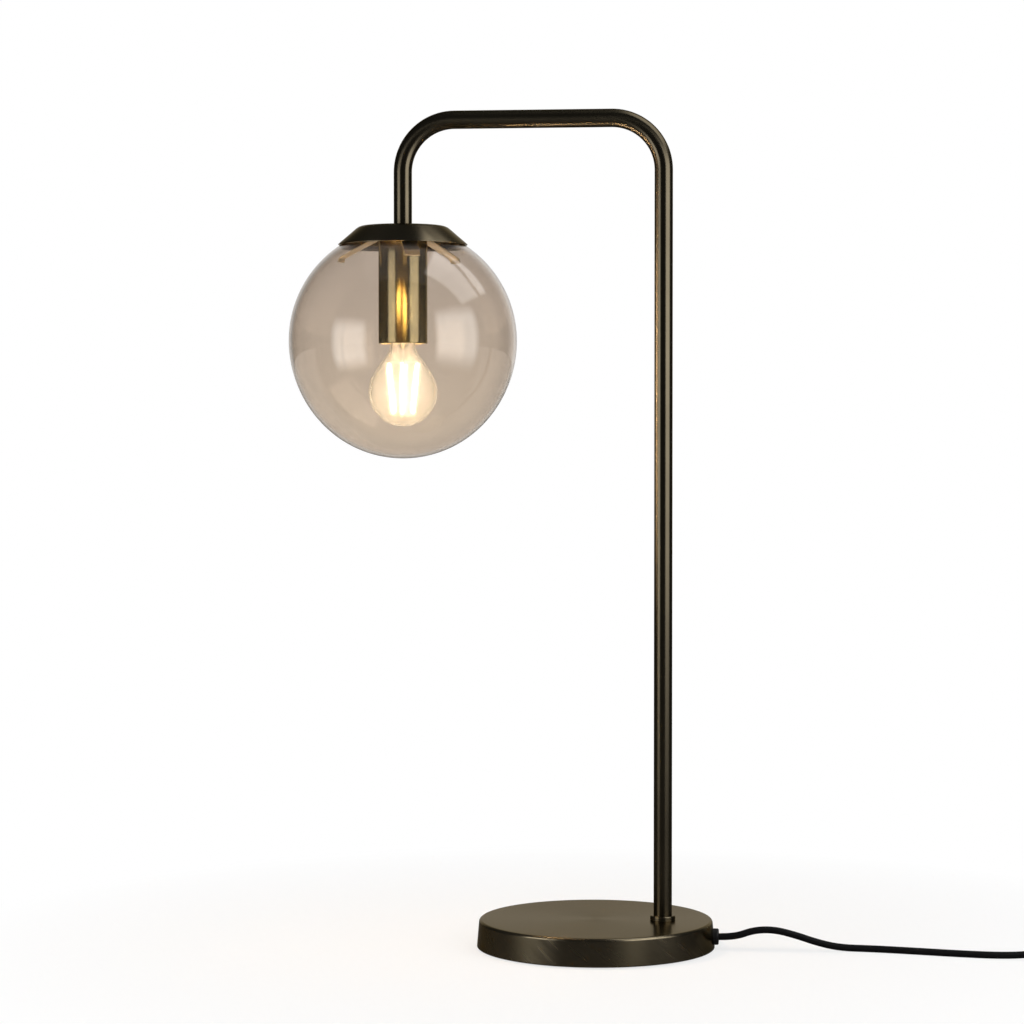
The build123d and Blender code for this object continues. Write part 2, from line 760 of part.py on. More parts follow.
with BuildPart() as filament_wires:
    for height, ring in (
        (filament_top + wire_step, filament_top_ring),
        (-filament_foot - wire_step, filament_foot_ring),
    ):
        for i in range(filament_count):
            angle = math.radians(filament_turn + 360 * i / filament_count)
            out = Vector(math.cos(angle), math.sin(angle))
            root = Vector(head_x, 0, bulb_z + height) + out * (stem_rod_r + fit)
            with BuildSketch(Plane(root, z_dir=out)):
                Circle(wire_r)
            extrude(amount=ring - stem_rod_r - fit)
filament_wires.part.label = "filament_wires"
export_step(filament_wires.part, "parts/filament_wires.step")

# Cord, switch, coil and plug


def route_radii(points):
    """The largest bends that the runs of a route leave room for."""
    corners = zip(points, points[1:], points[2:])
    radii = []
    for a, b, c in corners:
        before, after = Vector(*b) - Vector(*a), Vector(*c) - Vector(*b)
        turn = math.radians(before.get_angle(after))
        radii.append(bend_share * min(before.length, after.length) / math.tan(turn / 2))
    return radii


def report_tube(name, piece, line, radii):
    """Print a cord's bends, and its volume against its section times its length."""
    length = line.wire().length
    ratio = piece.part.volume / (math.pi * cord_r**2 * length)
    least = min(radii)
    print(f"{name}: length {length:.1f}, volume ratio {ratio:.4f}, least bend {least:.1f}")
    print("  bends", " ".join(f"{r:.0f}" for r in radii))


switch_right = switch_left + switch_len
switch_x = switch_left + switch_len / 2
run_points = [
    (bush_out_x, 0, bush_z),
    (bush_out_x + 10.4, 0, bush_z),
    (103, 0, 12.6),
    (116, 0, 13.4),
    (130, 0, 10.2),
    (144, 0, 5.6),
    (159, 0, cord_r),
    (181, -1.6, cord_r),
    (207, -6.8, cord_r),
    (235, -13.2, cord_r),
    (262, -17.0, cord_r),
    (282, switch_y, 3.6),
    (switch_left - 11, switch_y, switch_split),
    (switch_left + switch_grip, switch_y, switch_split),
]
run_radii = route_radii(run_points)

with BuildPart() as cord_run:
    with BuildLine() as run_line:
        FilletPolyline(*run_points, radius=run_radii)
    with BuildSketch(Plane(run_points[0], x_dir=(0, 1, 0), z_dir=(1, 0, 0))):
        Circle(cord_r)
    sweep()
cord_run.part.label = "cord_run"
export_step(cord_run.part, "parts/cord_run.step")
report_tube("cord_run", cord_run, run_line, run_radii)

coil_pitch = 2 * cord_r + coil_gap
coil_outer_r = coil_inner_r + coil_turns * coil_pitch
coil_x = switch_right + coil_lead + 2 * cord_r
coil_y = switch_y + coil_outer_r
coil_z = cord_r + tie_t + slip
link_points = [
    (switch_right - switch_grip, switch_y, switch_split),
    (switch_right + 10, switch_y, switch_split),
    (switch_right + 24, switch_y, coil_z),
    (coil_x - 2 * cord_r, switch_y, coil_z),
]
link_radii = route_radii(link_points)

with BuildPart() as cord_link:
    with BuildLine() as link_line:
        FilletPolyline(*link_points, radius=link_radii)
    with BuildSketch(Plane(link_points[0], x_dir=(0, 1, 0), z_dir=(1, 0, 0))):
        Circle(cord_r)
    sweep()
cord_link.part.label = "cord_link"
export_step(cord_link.part, "parts/cord_link.step")
report_tube("cord_link", cord_link, link_line, link_radii)


def coil_point(turn):
    """Place and direction on the coil: in along the lower layer, up a layer, and out along the upper one."""
    radius = coil_inner_r + coil_pitch * abs(turn - coil_turns)
    grow = 0 if turn in (0, coil_turns, 2 * coil_turns) else math.copysign(coil_pitch, turn - coil_turns)
    climb = min(max(2 * (turn - coil_turns) + 0.5, 0), 1)
    height = coil_z + coil_pitch * climb**2 * (3 - 2 * climb)
    rise = 12 * coil_pitch * climb * (1 - climb)
    angle = math.radians(360 * turn - 90)
    out = Vector(math.cos(angle), math.sin(angle))
    across = Vector(-math.sin(angle), math.cos(angle))
    place = Vector(coil_x, coil_y, height) + out * radius
    heading = across * (2 * math.pi * radius) + out * grow + Vector(0, 0, rise)
    return place, heading.normalized()


def biarc(start, heading, end, end_heading):
    """Two arcs that leave start along heading and reach end along end_heading."""
    span = end - start
    both = heading + end_heading
    spread = 2 * (1 - heading.dot(end_heading))
    pull = span.dot(both)
    reach = (math.sqrt(pull**2 + spread * span.dot(span)) - pull) / spread
    middle = (start + heading * reach + end - end_heading * reach) * 0.5
    TangentArc(start, middle, tangent=heading)
    TangentArc(middle, end, tangent=end - end_heading * reach - start - heading * reach)


quarter_count = round(8 * coil_turns)
coil_stations = [coil_point(2 * coil_turns * i / quarter_count) for i in range(quarter_count + 1)]
coil_start, coil_end = coil_stations[0], coil_stations[-1]
coil_in = coil_start[0] - coil_start[1] * (2 * cord_r)
coil_out = coil_end[0] + coil_end[1] * (2 * cord_r)

with BuildPart() as cord_coil:
    with BuildLine() as coil_line:
        Line(coil_in, coil_start[0])
        for station, following in zip(coil_stations, coil_stations[1:]):
            biarc(*station, *following)
        Line(coil_end[0], coil_out)
    with BuildSketch(Plane(coil_in, x_dir=(0, 1, 0), z_dir=coil_start[1])):
        Circle(cord_r)
    sweep()
cord_coil.part.label = "cord_coil"
export_step(cord_coil.part, "parts/cord_coil.step")

coil_wire = coil_line.wire()
sample_count = round(coil_wire.length / cord_r)
samples = [coil_wire.position_at(i / sample_count) for i in range(sample_count + 1)]
nearest = min(
    (a - b).length for i, a in enumerate(samples) for b in samples[i + 12 :]
)
coil_ratio = cord_coil.part.volume / (math.pi * cord_r**2 * coil_wire.length)
print(f"cord_coil: length {coil_wire.length:.1f}, volume ratio {coil_ratio:.4f}")
print(f"  least gap to itself {nearest - 2 * cord_r:.2f}")

coil_top = coil_z + coil_pitch + cord_r
tie_in = coil_inner_r - cord_r - tie_play
tie_out = coil_outer_r + cord_r + tie_play

with BuildPart() as coil_tie:
    with BuildSketch(Plane((coil_x, coil_y, 0), x_dir=(-1, 0, 0), z_dir=(0, 1, 0))):
        with Locations(((tie_in + tie_out) / 2, (coil_top + tie_play + tie_t) / 2)):
            RectangleRounded(tie_out - tie_in + 2 * tie_t, coil_top + tie_play + tie_t, cord_r)
            RectangleRounded(tie_out - tie_in, coil_top + tie_play - tie_t, cord_r - tie_t, mode=Mode.SUBTRACT)
    extrude(amount=tie_w / 2, both=True)
coil_tie.part.label = "coil_tie"
export_step(coil_tie.part, "parts/coil_tie.step")

plug_axis_z = plug_t / 2
tail_y = coil_y + coil_outer_r
plug_y = tail_y + tail_shift
relief_x = coil_out.X - tail_len
plug_back = relief_x - relief_len
plug_face = plug_back - plug_len
tail_points = [
    (coil_out.X, tail_y, coil_out.Z),
    (coil_out.X - 11, tail_y, coil_out.Z),
    (coil_out.X - 24, plug_y, plug_axis_z),
    (relief_x - plug_grip, plug_y, plug_axis_z),
]
tail_radii = route_radii(tail_points)

with BuildPart() as cord_tail:
    with BuildLine() as tail_line:
        FilletPolyline(*tail_points, radius=tail_radii)
    with BuildSketch(Plane(tail_points[0], x_dir=(0, 1, 0), z_dir=(-1, 0, 0))):
        Circle(cord_r)
    sweep()
cord_tail.part.label = "cord_tail"
export_step(cord_tail.part, "parts/cord_tail.step")
report_tube("cord_tail", cord_tail, tail_line, tail_radii)

switch_plane = Plane((switch_x, switch_y, 0))
switch_in_len = switch_len - 2 * switch_wall
switch_in_w = switch_w - 2 * switch_wall
switch_ceiling = switch_h - switch_wall
rocker_z = switch_split + rocker_lift
cord_plane = Plane((switch_x, switch_y, switch_split), x_dir=(0, 1, 0), z_dir=(1, 0, 0))

with BuildPart() as switch_base:
    with BuildSketch(switch_plane):
        RectangleRounded(switch_len, switch_w, switch_corner_r)
    extrude(amount=switch_split)
    fillet(switch_base.faces().sort_by(Axis.Z)[0].edges(), switch_edge_r)
    with BuildSketch(switch_plane.offset(switch_wall)):
        RectangleRounded(switch_in_len, switch_in_w, switch_corner_r - switch_wall)
    extrude(amount=switch_split - switch_wall, mode=Mode.SUBTRACT)
    with Locations(switch_plane):
        with Locations((-boss_x, 0), (boss_x, 0)):
            Cylinder(boss_r, switch_split, align=seat)
    with BuildSketch(cord_plane):
        Circle(cord_r + slip)
    extrude(amount=switch_len, both=True, mode=Mode.SUBTRACT)
    with Locations(Plane((switch_x, switch_y, 0), x_dir=(1, 0, 0), z_dir=(0, 0, -1))):
        with Locations((-boss_x, 0), (boss_x, 0)):
            CounterBoreHole(
                switch_screw_r + slip,
                switch_screw_head_r + slip,
                screw_recess + switch_screw_head_h,
                depth=switch_split,
            )
switch_base.part.label = "switch_base"
export_step(switch_base.part, "parts/switch_base.step")

window_len = 2 * (rocker_r + rocker_gap)
window_w = rocker_w + 2 * rocker_gap
cheek_y = window_w / 2

with BuildPart() as switch_cover:
    with BuildSketch(switch_plane.offset(switch_split)):
        RectangleRounded(switch_len, switch_w, switch_corner_r)
    extrude(amount=switch_h - switch_split)
    fillet(switch_cover.faces().sort_by(Axis.Z)[-1].edges(), switch_edge_r)
    with BuildSketch(switch_plane.offset(switch_split)):
        RectangleRounded(switch_in_len, switch_in_w, switch_corner_r - switch_wall)
    extrude(amount=switch_ceiling - switch_split, mode=Mode.SUBTRACT)
    with Locations(switch_plane.offset(switch_split)):
        with Locations((-boss_x, 0), (boss_x, 0)):
            Cylinder(boss_r, switch_ceiling - switch_split, align=seat)
    with BuildSketch(cord_plane):
        Circle(cord_r + slip)
    extrude(amount=switch_len, both=True, mode=Mode.SUBTRACT)
    with Locations(switch_plane.offset(switch_split)):
        with Locations((-boss_x, 0), (boss_x, 0)):
            Cylinder(
                switch_screw_r + fit,
                switch_screw_len + screw_recess - switch_split + clear,
                align=seat,
                mode=Mode.SUBTRACT,
            )
    with BuildSketch(switch_plane.offset(switch_ceiling)):
        Rectangle(window_len, window_w)
    extrude(amount=switch_wall, mode=Mode.SUBTRACT)
    with BuildSketch(switch_plane.offset(rocker_z - cheek_drop)):
        with Locations((0, cheek_y + cheek_t / 2), (0, -cheek_y - cheek_t / 2)):
            Rectangle(cheek_len, cheek_t)
    extrude(amount=switch_ceiling - rocker_z + cheek_drop)
    with BuildSketch(Plane((switch_x, switch_y, rocker_z), x_dir=(1, 0, 0), z_dir=(0, 1, 0))):
        Circle(trunnion_r + fit)
    extrude(amount=cheek_y + cheek_t, both=True, mode=Mode.SUBTRACT)
switch_cover.part.label = "switch_cover"
export_step(switch_cover.part, "parts/switch_cover.step")

tilt = math.radians(rocker_tilt)
rocker_plane = Plane(
    (switch_x, switch_y, rocker_z), x_dir=(math.cos(tilt), 0, math.sin(tilt)), z_dir=(0, -1, 0)
)
valley_rise = rocker_crown + rocker_r * math.tan(tilt)

with BuildPart() as switch_rocker:
    with BuildSketch(rocker_plane):
        Circle(rocker_r)
        with BuildLine():
            Polyline(
                (-rocker_r, -rocker_floor),
                (rocker_r, -rocker_floor),
                (rocker_r, valley_rise),
                (0, rocker_crown),
                (-rocker_r, valley_rise),
                close=True,
            )
        make_face(mode=Mode.INTERSECT)
    extrude(amount=rocker_w / 2, both=True)
    with BuildSketch(rocker_plane):
        Circle(trunnion_r)
    extrude(amount=cheek_y + cheek_t - rocker_gap, both=True)
switch_rocker.part.label = "switch_rocker"
export_step(switch_rocker.part, "parts/switch_rocker.step")

with BuildPart() as switch_screws:
    with Locations(switch_plane.offset(screw_recess)):
        with Locations((-boss_x, 0), (boss_x, 0)):
            Cylinder(switch_screw_head_r, switch_screw_head_h, align=seat)
            Cylinder(switch_screw_r, switch_screw_len, align=seat)
switch_screws.part.label = "switch_screws"
export_step(switch_screws.part, "parts/switch_screws.step")

with BuildPart() as switch_contacts:
    with Locations(switch_plane.offset(switch_wall)):
        with Locations((-strip_x, 0), (strip_x, 0)):
            Box(strip_len, strip_w, strip_t, align=seat)
switch_contacts.part.label = "switch_contacts"
export_step(switch_contacts.part, "parts/switch_contacts.step")

relief_plane = Plane((plug_back, plug_y, plug_axis_z), x_dir=(0, 1, 0), z_dir=(1, 0, 0))
pin_plane = Plane((plug_face, plug_y, plug_axis_z), x_dir=(0, 1, 0), z_dir=(-1, 0, 0))

with BuildPart() as plug_body:
    with BuildSketch(Plane((plug_face, plug_y, 0))):
        with BuildLine():
            Polyline(
                (0, plug_w / 2),
                (plug_shoulder, plug_w / 2),
                (plug_len, plug_neck_w / 2),
                (plug_len, -plug_neck_w / 2),
                (plug_shoulder, -plug_w / 2),
                (0, -plug_w / 2),
                close=True,
            )
        make_face()
    extrude(amount=plug_t)
    upright = plug_body.edges().filter_by(Axis.Z)
    fillet(upright, plug_edge_r)
    fillet(plug_body.faces().sort_by(Axis.Z)[-1].edges(), plug_edge_r - 1)
    fillet(plug_body.faces().sort_by(Axis.Z)[0].edges(), plug_edge_r - 1)
    with Locations(relief_plane):
        Cone(relief_big_r, relief_small_r, relief_len, align=seat)
    groove_step = relief_len / (relief_groove_count + 1)
    for i in range(relief_groove_count):
        depth_r = relief_big_r + (relief_small_r - relief_big_r) * (i + 1) / (relief_groove_count + 1)
        with BuildSketch(relief_plane.offset(groove_step * (i + 1) - relief_groove_w / 2)):
            Circle(relief_big_r + relief_groove_d)
            Circle(depth_r - relief_groove_d, mode=Mode.SUBTRACT)
        extrude(amount=relief_groove_w, mode=Mode.SUBTRACT)
    with BuildSketch(relief_plane.offset(relief_len - plug_grip)):
        Circle(cord_r + slip)
    extrude(amount=plug_grip, mode=Mode.SUBTRACT)
    with BuildSketch(pin_plane):
        with GridLocations(pin_spacing, 0, 2, 1):
            Circle(pin_root_r + fit)
    extrude(amount=-pin_root, mode=Mode.SUBTRACT)
plug_body.part.label = "plug_body"
export_step(plug_body.part, "parts/plug_body.step")

with BuildPart() as plug_pins:
    with BuildSketch(pin_plane):
        with GridLocations(pin_spacing, 0, 2, 1):
            Circle(pin_r)
    extrude(amount=pin_len)
    fillet(plug_pins.edges().group_by(Axis.X)[0], pin_tip_r)
    with BuildSketch(pin_plane):
        with GridLocations(pin_spacing, 0, 2, 1):
            Circle(pin_root_r)
    extrude(amount=-pin_root)
plug_pins.part.label = "plug_pins"
export_step(plug_pins.part, "parts/plug_pins.step")

cord_total = (
    run_line.wire().length + link_line.wire().length + coil_wire.length + tail_line.wire().length
    + switch_len - 2 * switch_grip
)
print(f"cord from the bush to the plug: {cord_total:.0f}")
print(f"head x {head_x:.2f}, rim z {rim_z:.2f}, globe z {globe_z:.2f}, bulb z {bulb_z:.2f}, tip z {tip_z:.2f}")
print(f"clip heel {heel[0]:.2f} {heel[1]:.2f}, coil {coil_x:.2f} {coil_y:.2f} outer r {coil_outer_r:.2f}")
print(f"plug face {plug_face:.2f} y {plug_y:.2f}, rocker {switch_x:.2f} {switch_y:.2f} {rocker_z:.2f}")
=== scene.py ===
import math

import bmesh
import bpy
from mathutils import Matrix, Vector


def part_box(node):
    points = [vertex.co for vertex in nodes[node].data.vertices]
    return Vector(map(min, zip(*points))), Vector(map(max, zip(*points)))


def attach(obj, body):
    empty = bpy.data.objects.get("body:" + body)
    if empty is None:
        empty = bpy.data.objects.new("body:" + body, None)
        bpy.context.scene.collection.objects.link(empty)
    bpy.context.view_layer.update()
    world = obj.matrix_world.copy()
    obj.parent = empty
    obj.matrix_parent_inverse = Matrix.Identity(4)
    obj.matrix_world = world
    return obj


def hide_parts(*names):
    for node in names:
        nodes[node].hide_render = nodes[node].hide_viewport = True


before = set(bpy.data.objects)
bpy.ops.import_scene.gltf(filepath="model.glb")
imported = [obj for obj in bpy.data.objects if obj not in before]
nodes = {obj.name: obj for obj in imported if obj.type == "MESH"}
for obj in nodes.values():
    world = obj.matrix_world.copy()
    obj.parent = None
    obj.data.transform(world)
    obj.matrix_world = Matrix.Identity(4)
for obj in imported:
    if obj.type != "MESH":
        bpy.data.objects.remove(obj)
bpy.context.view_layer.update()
scene = bpy.context.scene
scene.view_settings.view_transform = "Standard"

# Sizes in metres
HEAD_X = -0.1275         # axis of the cap, sleeve, globe and bulb
STEM_X = 0.044           # axis of the stem
BASE_R = 0.078
BASE_TOP = 0.0185
ARM_Z = 0.5425           # middle of the arm
BEND_R = 0.034           # middle of the tube in its two bends
TUBE_R = 0.006
TUBE_BORE_R = 0.0051
CAP_TOP = 0.4732
CORD_R = 0.0023


# Mesh helpers


def arc(cx, cy, r, start, end, steps):
    """Points of an arc, angles in degrees."""
    out = []
    for i in range(steps + 1):
        a = math.radians(start + (end - start) * i / steps)
        out.append((cx + r * math.cos(a), cy + r * math.sin(a)))
    return out


def running_lengths(points):
    """How far along a line each of its points lies."""
    out = [0.0]
    for a, b in zip(points, points[1:]):
        out.append(out[-1] + math.dist(a, b))
    return out


def skin(name, rings, lengths, sharp):
    """Join rings of points by faces, with turns and lengths as the UV map.

    A ring may have all its points in one place. Edges stay sharp above an angle in degrees.
    """
    bm = bmesh.new()
    uv = bm.loops.layers.uv.new("UVMap")
    steps = len(rings[0])
    verts = [[bm.verts.new(point) for point in ring] for ring in rings]
    for j in range(len(rings) - 1):
        for i in range(steps):
            corners = [(i, j), (i + 1, j), (i + 1, j + 1), (i, j + 1)]
            if rings[j][0] == rings[j][1]:
                corners.pop(1)
            elif rings[j + 1][0] == rings[j + 1][1]:
                corners.pop(2)
            face = bm.faces.new([verts[row][turn % steps] for turn, row in corners])
            for loop, (turn, row) in zip(face.loops, corners):
                loop[uv].uv = (turn / steps, lengths[row])
    bmesh.ops.remove_doubles(bm, verts=bm.verts, dist=1e-7)
    bmesh.ops.recalc_face_normals(bm, faces=bm.faces)
    mesh = bpy.data.meshes.new(name)
    bm.to_mesh(mesh)
    bm.free()
    mesh.shade_smooth()
    mesh.set_sharp_from_angle(angle=math.radians(sharp))
    obj = bpy.data.objects.new(name, mesh)
    scene.collection.objects.link(obj)
    return obj


def lathe(name, profile, steps, x=0.0, closed=True, sharp=35):
    """Turn a profile of (radius, height) points in millimetres about the vertical axis at x."""
    points = [(r / 1000, z / 1000) for r, z in profile]
    if closed:
        points.append(points[0])
    rings = []
    for r, z in points:
        ring = []
        for i in range(steps):
            a = 2 * math.pi * i / steps + math.pi / 2
            ring.append((x + r * math.cos(a), r * math.sin(a), z))
        rings.append(ring)
    return skin(name, rings, running_lengths(points), sharp)


def bent_tube(name, path, outer, inner, steps=40, sharp=40):
    """A tube along a path of ((x, z), tangent angle) stations in the plane of the arm."""
    lengths = running_lengths([point for point, angle in path])
    stations = [(point, angle, outer, along) for (point, angle), along in zip(path, lengths)]
    stations += [(point, angle, inner, along) for point, angle, r, along in stations[::-1]]
    stations.append(stations[0])
    rings = []
    for (px, pz), angle, r, along in stations:
        ring = []
        for i in range(steps):
            t = 2 * math.pi * i / steps
            side = r * math.sin(t)
            ring.append((px - side * math.sin(angle), r * math.cos(t), pz + side * math.cos(angle)))
        rings.append(ring)
    return skin(name, rings, [along for point, angle, r, along in stations], sharp)


def set_material(obj, mat):
    obj.data.materials.clear()
    obj.data.materials.append(mat)


def place(obj, body, slot, mat, *replaced):
    """Give a new piece its body and material, and put it in the place of the nodes it replaces. The slot is
    not used.
    """
    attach(obj, body)
    set_material(obj, mat)
    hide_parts(*replaced)


# Material helpers


class Graph:
    """Short ways to add nodes to a node tree."""

    def __init__(self, tree):
        self.tree = tree

    def add(self, kind, inputs=None, **props):
        """Add a node. An input is linked where its value is an output, and set where it is a constant."""
        node = self.tree.nodes.new(kind)
        for key, value in props.items():
            setattr(node, key, value)
        for key, value in (inputs or {}).items():
            if isinstance(value, bpy.types.NodeSocket):
                self.tree.links.new(value, node.inputs[key])
            else:
                node.inputs[key].default_value = value
        return node

    def math(self, operation, a, b=0.0):
        return self.add("ShaderNodeMath", {0: a, 1: b}, operation=operation).outputs[0]

    def split(self, vector):
        return self.add("ShaderNodeSeparateXYZ", {0: vector}).outputs

    def join(self, x, y):
        return self.add("ShaderNodeCombineXYZ", {0: x, 1: y}).outputs[0]

    def mapping(self, vector, **inputs):
        return self.add("ShaderNodeMapping", {"Vector": vector, **inputs}).outputs[0]

    def spread(self, value, low, high, out_low, out_high, **props):
        """Bring a value from one range to another, and no further than its ends."""
        inputs = {0: value, 1: low, 2: high, 3: out_low, 4: out_high}
        return self.add("ShaderNodeMapRange", inputs, **props).outputs[0]


class Shader(Graph):
    """A Principled material. Its sockets are named with underscores for spaces."""

    def __init__(self, name, **sockets):
        self.mat = bpy.data.materials.new(name)
        self.mat.use_nodes = True
        super().__init__(self.mat.node_tree)
        self.bsdf = self.tree.nodes["Principled BSDF"]
        for key, value in sockets.items():
            self.bsdf.inputs[key.replace("_", " ")].default_value = value

    def link(self, output, key):
        self.tree.links.new(output, self.bsdf.inputs[key])

    def coords(self, offset=(0, 0, 0)):
        return self.mapping(self.add("ShaderNodeTexCoord").outputs["Object"], Location=offset)

    def noise(self, vector, scale, detail=4.0, rough=0.55):
        inputs = {"Vector": vector, "Scale": scale, "Detail": detail, "Roughness": rough}
        return self.add("ShaderNodeTexNoise", inputs).outputs[0]

    def vary(self, noise, low, high):
        """Bring the middle of a noise to a range."""
        return self.spread(noise, 0.3, 0.7, low, high)

    def blend(self, factor, a, b):
        return self.add("ShaderNodeMix", {0: factor, 6: a, 7: b}, data_type="RGBA").outputs[2]

    def mottle(self, noise, colour, dark, pale):
        """A colour that varies with a noise between two shades of itself."""
        return self.blend(self.vary(noise, 0.0, 1.0), shade(colour, dark), shade(colour, pale))

    def bump(self, height, strength, distance):
        node = self.add("ShaderNodeBump", {"Height": height, "Strength": strength, "Distance": distance})
        self.link(node.outputs[0], "Normal")


def shade(colour, factor):
    return tuple(c * factor for c in colour) + (1.0,)


# Brushed brass

BRASS = (0.166, 0.139, 0.093)
# Paler tone for the sleeve's brass, part of its painted light
PALE_BRASS = (0.166, 0.158, 0.104)
BRASS_EDGE = (0.62, 0.56, 0.45, 1.0)
LINES = 2600.0                      # scale of the brushed lines, in a metre
TUBE_LINES = (3.0, LINES, 1.0)      # in a turn of the tube, and along it
SLANT = math.radians(38)            # of the lines on the side of the base
SLANT_LINES = (26.0, 330.0, 1.0)    # along and across them


def ring_lines(s, x, y, z):
    """A vector in which noise makes fine rings about the vertical axis."""
    radius = s.math("SQRT", s.math("ADD", s.math("MULTIPLY", x, x), s.math("MULTIPLY", y, y)))
    return s.join(s.math("MULTIPLY", radius, LINES), s.math("MULTIPLY", z, LINES))


def ring_streaks(s, at):
    return s.noise(ring_lines(s, *s.split(at)), 1.0, 3.0, 0.6)


def tube_streaks(s):
    """Fine rings round the tube, drawn in its UV map."""
    uv = s.add("ShaderNodeUVMap", uv_map="UVMap").outputs[0]
    return s.noise(s.mapping(uv, Scale=TUBE_LINES), 1.0, 3.0, 0.6)


def slant_streaks(s, at):
    """Slanting lines on the side of the base, and fainter rings on its top."""
    x, y, z = s.split(at)
    around = s.math("MULTIPLY", s.math("ARCTAN2", y, x), BASE_R)
    turned = s.mapping(s.join(around, z), Rotation=(0, 0, SLANT))
    side = s.mapping(turned, Scale=SLANT_LINES)
    upward = s.split(s.add("ShaderNodeNewGeometry").outputs["Normal"])[2]
    top = s.spread(upward, 0.6, 0.8, 0.0, 1.0)
    rings = ring_lines(s, x, y, z)
    lines = s.add("ShaderNodeMix", {0: top, 4: side, 5: rings}, data_type="VECTOR").outputs[1]
    fine = s.math("SUBTRACT", s.noise(lines, 1.0, 2.0, 0.5), 0.5)
    return s.math("ADD", s.math("MULTIPLY", fine, s.spread(top, 0.0, 1.0, 1.0, 0.4)), 0.5)


def antique_brass(name, grain, offset=(0, 0, 0), rough=0.25, aniso=0.8, light=1.0, wear=1.0, tone=BRASS):
    """Dark brushed brass. The grain is ring, tube or slant, and the gloss is drawn out across it. Light
    scales the colour, so that a copy is painted lighter or darker for the light on its part.
    """
    s = Shader(name, Metallic=1.0, Anisotropic=aniso, Anisotropic_Rotation=0.25, Specular_Tint=BRASS_EDGE)
    at = s.coords(offset)
    if grain == "ring":
        streak = ring_streaks(s, at)
        s.bump(streak, 0.03, 0.0001)
    elif grain == "tube":
        streak = tube_streaks(s)
    else:
        streak = slant_streaks(s, at)
    colour = s.mottle(s.noise(at, 22.0, 3.0), tone, 0.9 * light, 1.1 * light)
    colour = s.blend(s.vary(streak, 0.0, 0.3 * wear), colour, shade(tone, 0.72 * light))
    s.link(colour, "Base Color")
    s.link(s.vary(streak, rough - 0.03 * wear, rough + 0.04 * wear), "Roughness")
    tangent = s.add("ShaderNodeTangent", direction_type="UV_MAP", uv_map="UVMap")
    s.link(tangent.outputs[0], "Tangent")
    return s.mat


# Copies of one brass, painted lighter or darker: the sleeve's twice as light and paler, as painted light of
# the lamps and bulb on it; the tube's darker, as painted shade; the base's and cap's a little lighter
base_brass = antique_brass("base_brass", "slant", rough=0.22, aniso=0.55, light=1.15, wear=1.8)
head_brass = antique_brass("head_brass", "ring", offset=(-HEAD_X, 0, 0), light=1.05, wear=0.4)
foot_brass = antique_brass("foot_brass", "ring", offset=(-STEM_X, 0, 0))
tube_brass = antique_brass("tube_brass", "tube", light=0.66, wear=0.35)
sleeve_brass = antique_brass(
    "sleeve_brass", "ring", offset=(-HEAD_X, 0, 0), rough=0.17, aniso=0.5, light=2.05, wear=0.5,
    tone=PALE_BRASS,
)


# Plain metals, plastics and glass

CASE_COLOUR = (0.022, 0.022, 0.023)
PIN_COLOUR = (0.80, 0.78, 0.74)
PIN_SLEEVE = 0.010           # length of the insulated part of a plug pin
PIN_EDGE = 0.0001            # half the width of the change to bare metal
METAL_GRAIN = 900.0
EDGE_ON = (0.55, 0.95)       # from facing to edge on, where the tint of glass deepens
DARKER_TOP_HEIGHTS = (0.345, 0.45)    # heights in metres between which the globe's colour darkens towards its top
WARM_GLOW = (1.0, 0.92, 0.66, 1.0)


def plain_metal(name, colour, rough):
    s = Shader(name, Metallic=1.0)
    at = s.coords()
    fine = s.noise(at, METAL_GRAIN, 3.0)
    s.link(s.mottle(s.noise(at, 60.0), colour, 0.85, 1.1), "Base Color")
    s.link(s.vary(fine, rough - 0.01, rough + 0.02), "Roughness")
    s.bump(fine, 0.1, 0.00002)
    return s.mat


def plastic(name, colour, rough, grain=1200.0, depth=0.15, gloss=0.5):
    s = Shader(name, Specular_IOR_Level=gloss)
    at = s.coords()
    fine = s.noise(at, grain, 3.0)
    s.link(s.mottle(s.noise(at, 40.0), colour, 0.8, 1.25), "Base Color")
    s.link(s.vary(fine, rough - 0.06, rough + 0.08), "Roughness")
    s.bump(fine, depth, 0.0001)
    return s.mat


def sleeved_pin(name, bare_to):
    """A plug pin that is bright metal up to x = bare_to and insulated from there to the plug."""
    s = Shader(name)
    at = s.coords()
    sleeved = s.spread(s.split(at)[0], bare_to - PIN_EDGE, bare_to + PIN_EDGE, 0.0, 1.0)
    s.link(s.blend(sleeved, shade(PIN_COLOUR, 1.0), shade(CASE_COLOUR, 1.0)), "Base Color")
    s.link(s.spread(sleeved, 0.0, 1.0, 1.0, 0.0), "Metallic")
    s.link(s.vary(s.noise(at, METAL_GRAIN, 3.0), 0.29, 0.32), "Roughness")
    return s.mat


def clear_glass(name, colour, edge, high=None, rough=0.0, glow=0.0):
    """Glass whose tint deepens where its wall is seen edge on.

    If high is given, the colour also changes to it, darker, towards the top of the globe.
    """
    s = Shader(
        name, Roughness=rough, IOR=1.5, Transmission_Weight=1.0, Emission_Color=WARM_GLOW,
        Emission_Strength=glow,
    )
    facing = s.add("ShaderNodeLayerWeight", {"Blend": 0.5}).outputs["Facing"]
    if high:
        height = s.split(s.coords())[2]
        colour = s.blend(s.spread(height, *DARKER_TOP_HEIGHTS, 0.0, 1.0), colour, high)
    s.link(s.blend(s.spread(facing, *EDGE_ON, 0.0, 1.0), colour, edge), "Base Color")
    return s.mat
